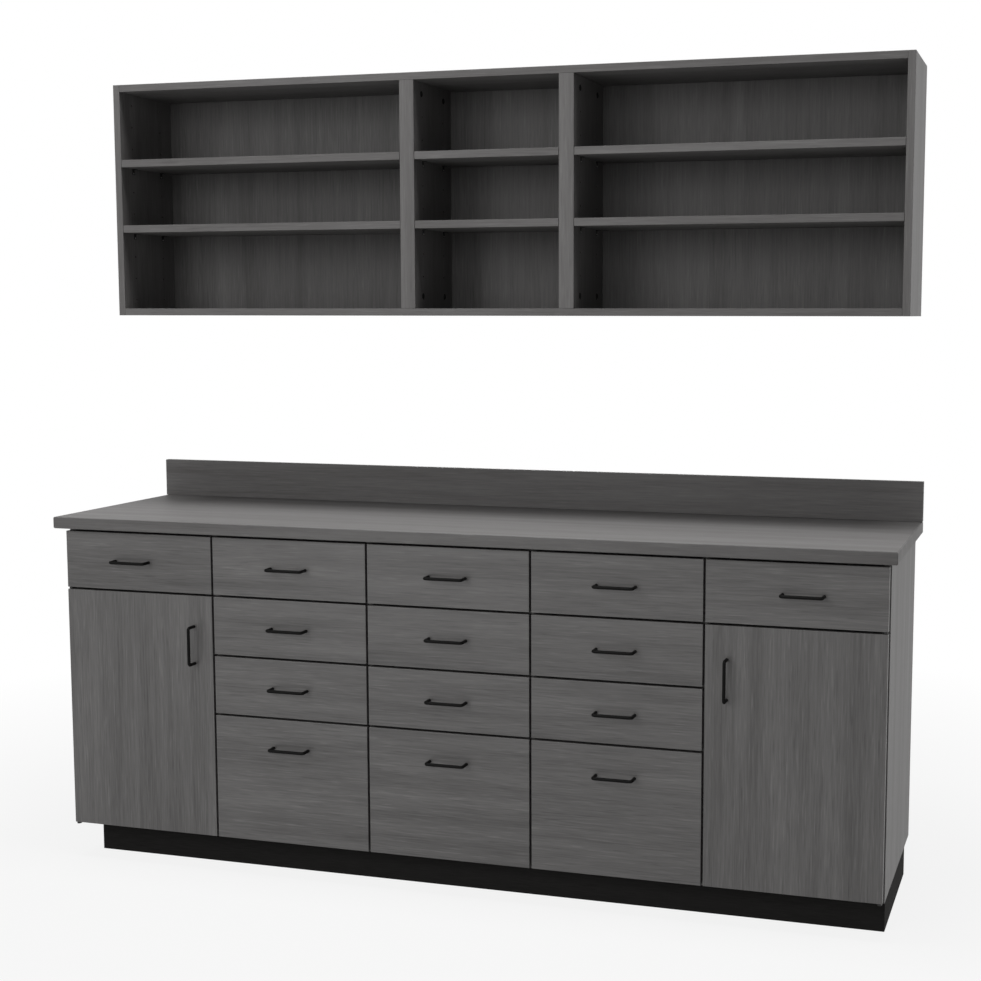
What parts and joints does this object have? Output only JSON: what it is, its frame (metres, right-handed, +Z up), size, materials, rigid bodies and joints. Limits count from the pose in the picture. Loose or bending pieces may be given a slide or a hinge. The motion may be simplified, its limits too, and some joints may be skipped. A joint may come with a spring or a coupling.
{
  "type": "pharmacy cabinet with wall shelves",
  "caption": "Grey wood-look base cabinet with drawers, hinged doors, worktop and black wire pulls on a recessed kick, under a wall unit of open shelf bays.",
  "frame": {"origin": "bottom centre of the whole object's box, on the floor", "axes": "+X to the right along the fronts, +Y towards the wall, +Z up"},
  "size_m": [2.1696, 0.593, 2.0514],
  "materials": {
    "grey_laminate": "satin",
    "front_laminate": "satin",
    "top_laminate": "satin",
    "kick_black": "matte",
    "black_metal": "satin",
    "zinc_steel": "satin"
  },
  "bodies": {
    "carcass": {"toe_kick": "kick_black", "base_left_end": "grey_laminate", "base_right_end": "grey_laminate", "base_deck": "grey_laminate", "base_back": "grey_laminate", "base_divider_1": "grey_laminate", "base_divider_2": "grey_laminate", "base_divider_3": "grey_laminate", "base_divider_4": "grey_laminate", "worktop": "top_laminate", "backsplash": "top_laminate", "left_door_lower_hinge": "black_metal", "left_door_upper_hinge": "black_metal", "right_door_lower_hinge": "black_metal", "right_door_upper_hinge": "black_metal", "wall_left_end": "grey_laminate", "wall_right_end": "grey_laminate", "wall_bottom": "grey_laminate", "wall_top": "grey_laminate", "wall_back": "grey_laminate", "wall_left_partition": "grey_laminate", "wall_right_partition": "grey_laminate", "left_bay_lower_shelf": "grey_laminate", "left_bay_upper_shelf": "grey_laminate", "middle_bay_lower_shelf": "grey_laminate", "middle_bay_upper_shelf": "grey_laminate", "right_bay_lower_shelf": "grey_laminate", "right_bay_upper_shelf": "grey_laminate"},
    "drawer_1_1": {"drawer_1_1": "front_laminate", "drawer_pull_1_1": "black_metal"},
    "drawer_2_1": {"drawer_2_1": "front_laminate", "drawer_pull_2_1": "black_metal"},
    "drawer_2_2": {"drawer_2_2": "front_laminate", "drawer_pull_2_2": "black_metal"},
    "drawer_2_3": {"drawer_2_3": "front_laminate", "drawer_pull_2_3": "black_metal"},
    "drawer_2_4": {"drawer_2_4": "front_laminate", "drawer_pull_2_4": "black_metal"},
    "drawer_3_1": {"drawer_3_1": "front_laminate", "drawer_pull_3_1": "black_metal"},
    "drawer_3_2": {"drawer_3_2": "front_laminate", "drawer_pull_3_2": "black_metal"},
    "drawer_3_3": {"drawer_3_3": "front_laminate", "drawer_pull_3_3": "black_metal"},
    "drawer_3_4": {"drawer_3_4": "front_laminate", "drawer_pull_3_4": "black_metal"},
    "drawer_4_1": {"drawer_4_1": "front_laminate", "drawer_pull_4_1": "black_metal"},
    "drawer_4_2": {"drawer_4_2": "front_laminate", "drawer_pull_4_2": "black_metal"},
    "drawer_4_3": {"drawer_4_3": "front_laminate", "drawer_pull_4_3": "black_metal"},
    "drawer_4_4": {"drawer_4_4": "front_laminate", "drawer_pull_4_4": "black_metal"},
    "drawer_5_1": {"drawer_5_1": "front_laminate", "drawer_pull_5_1": "black_metal"},
    "left_door": {"left_door": "front_laminate", "left_door_pull": "black_metal"},
    "right_door": {"right_door": "front_laminate", "right_door_pull": "black_metal"}
  },
  "joints": [
    {"name": "drawer_1_1_slide", "type": "slide", "parent": "carcass", "child": "drawer_1_1", "axis": [0, -1, 0], "range_m": [0, 0.38]},
    {"name": "drawer_2_1_slide", "type": "slide", "parent": "carcass", "child": "drawer_2_1", "axis": [0, -1, 0], "range_m": [0, 0.38]},
    {"name": "drawer_2_2_slide", "type": "slide", "parent": "carcass", "child": "drawer_2_2", "axis": [0, -1, 0], "range_m": [0, 0.38]},
    {"name": "drawer_2_3_slide", "type": "slide", "parent": "carcass", "child": "drawer_2_3", "axis": [0, -1, 0], "range_m": [0, 0.38]},
    {"name": "drawer_2_4_slide", "type": "slide", "parent": "carcass", "child": "drawer_2_4", "axis": [0, -1, 0], "range_m": [0, 0.38]},
    {"name": "drawer_3_1_slide", "type": "slide", "parent": "carcass", "child": "drawer_3_1", "axis": [0, -1, 0], "range_m": [0, 0.38]},
    {"name": "drawer_3_2_slide", "type": "slide", "parent": "carcass", "child": "drawer_3_2", "axis": [0, -1, 0], "range_m": [0, 0.38]},
    {"name": "drawer_3_3_slide", "type": "slide", "parent": "carcass", "child": "drawer_3_3", "axis": [0, -1, 0], "range_m": [0, 0.38]},
    {"name": "drawer_3_4_slide", "type": "slide", "parent": "carcass", "child": "drawer_3_4", "axis": [0, -1, 0], "range_m": [0, 0.38]},
    {"name": "drawer_4_1_slide", "type": "slide", "parent": "carcass", "child": "drawer_4_1", "axis": [0, -1, 0], "range_m": [0, 0.38]},
    {"name": "drawer_4_2_slide", "type": "slide", "parent": "carcass", "child": "drawer_4_2", "axis": [0, -1, 0], "range_m": [0, 0.38]},
    {"name": "drawer_4_3_slide", "type": "slide", "parent": "carcass", "child": "drawer_4_3", "axis": [0, -1, 0], "range_m": [0, 0.38]},
    {"name": "drawer_4_4_slide", "type": "slide", "parent": "carcass", "child": "drawer_4_4", "axis": [0, -1, 0], "range_m": [0, 0.38]},
    {"name": "drawer_5_1_slide", "type": "slide", "parent": "carcass", "child": "drawer_5_1", "axis": [0, -1, 0], "range_m": [0, 0.38]},
    {"name": "left_door_hinge", "type": "hinge", "parent": "carcass", "child": "left_door", "pos_m": [-1.05725, -0.2565, 0.408], "axis": [0, 0, -1], "range_deg": [0, 110]},
    {"name": "right_door_hinge", "type": "hinge", "parent": "carcass", "child": "right_door", "pos_m": [1.05725, -0.2565, 0.408], "axis": [0, 0, 1], "range_deg": [0, 110]}
  ]
}
